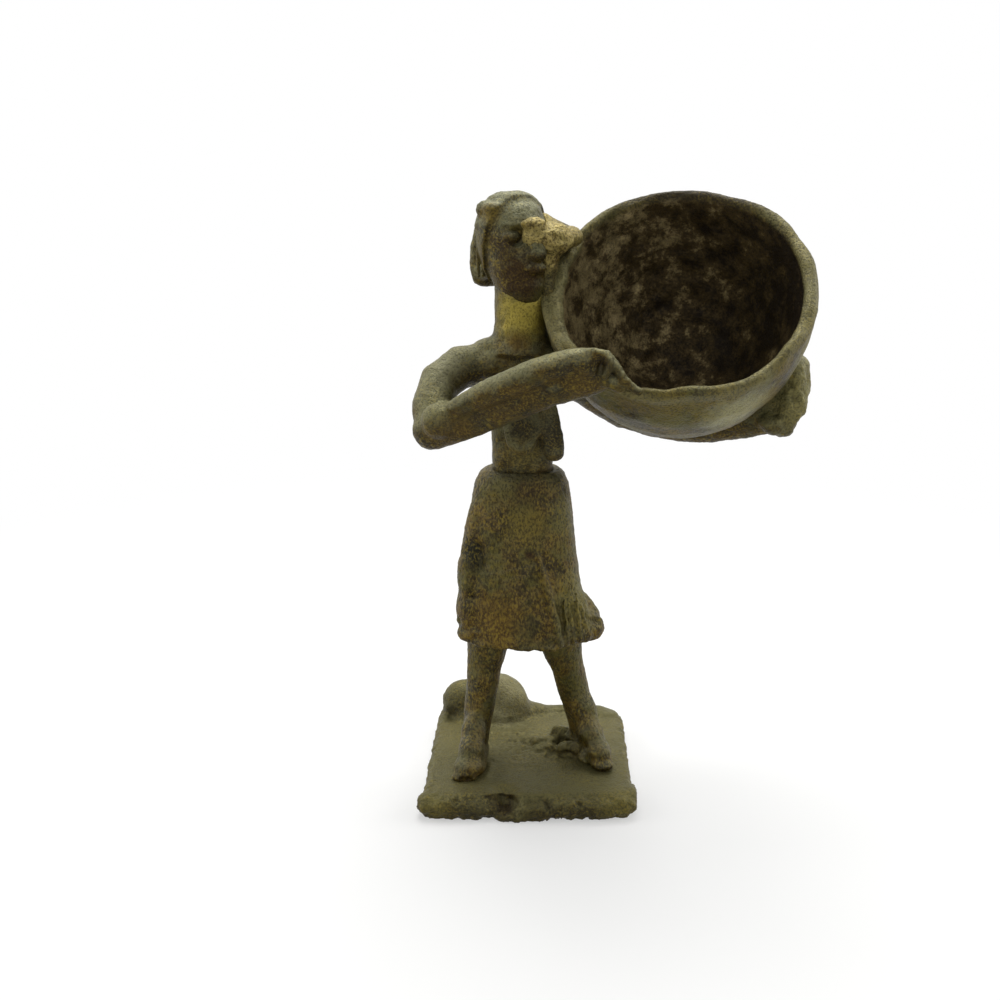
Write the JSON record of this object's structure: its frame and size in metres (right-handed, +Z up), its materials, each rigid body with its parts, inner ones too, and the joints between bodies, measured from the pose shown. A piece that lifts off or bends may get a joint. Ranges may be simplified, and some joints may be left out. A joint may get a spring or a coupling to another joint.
{
  "type": "akan gold weight",
  "caption": "Small cast-brass figurative gold weight of a standing woman in a wrap skirt, holding a large tilted open bowl, on a rectangular plate.",
  "frame": {"origin": "centre of the base plate's underside, on the table", "axes": "+Z up, the figure faces -Y, +X towards the bowl"},
  "size_m": [0.0406, 0.0246, 0.0635],
  "materials": {
    "cast_brass": "rough as cast, dark olive-brown patina with worn golden high spots",
    "base_brass": "as cast, smooth olive-grey patina",
    "cloth_brass": "as cast, warm brown patina speckled with dark pits",
    "bowl_brass": "as cast, mottled brown patina, darker inside"
  },
  "bodies": {
    "root": {"base_plate": "base_brass", "rear_mound": "base_brass", "right_foot": "cast_brass", "left_foot": "cast_brass", "luting_ridge": "base_brass", "right_leg": "cast_brass", "left_leg": "cast_brass", "hips": "cast_brass", "wrapper": "cloth_brass", "wrapper_outer_lap": "cloth_brass", "wrapper_side_fold": "cloth_brass", "wrapper_cloth_end": "cloth_brass", "torso": "cast_brass", "right_breast": "cast_brass", "left_breast": "cast_brass", "neck": "cast_brass", "head": "cast_brass", "hair": "cast_brass", "temple_coil": "cast_brass", "nape_lock": "cast_brass", "right_eye": "cast_brass", "left_eye": "cast_brass", "nose": "cast_brass", "mouth": "cast_brass", "rim_bridge": "cast_brass", "bowl": "bowl_brass", "right_upper_arm": "cast_brass", "right_forearm": "cast_brass", "right_hand": "cast_brass", "left_upper_arm": "cast_brass", "left_forearm": "cast_brass", "left_hand": "cast_brass"}
  },
  "joints": []
}
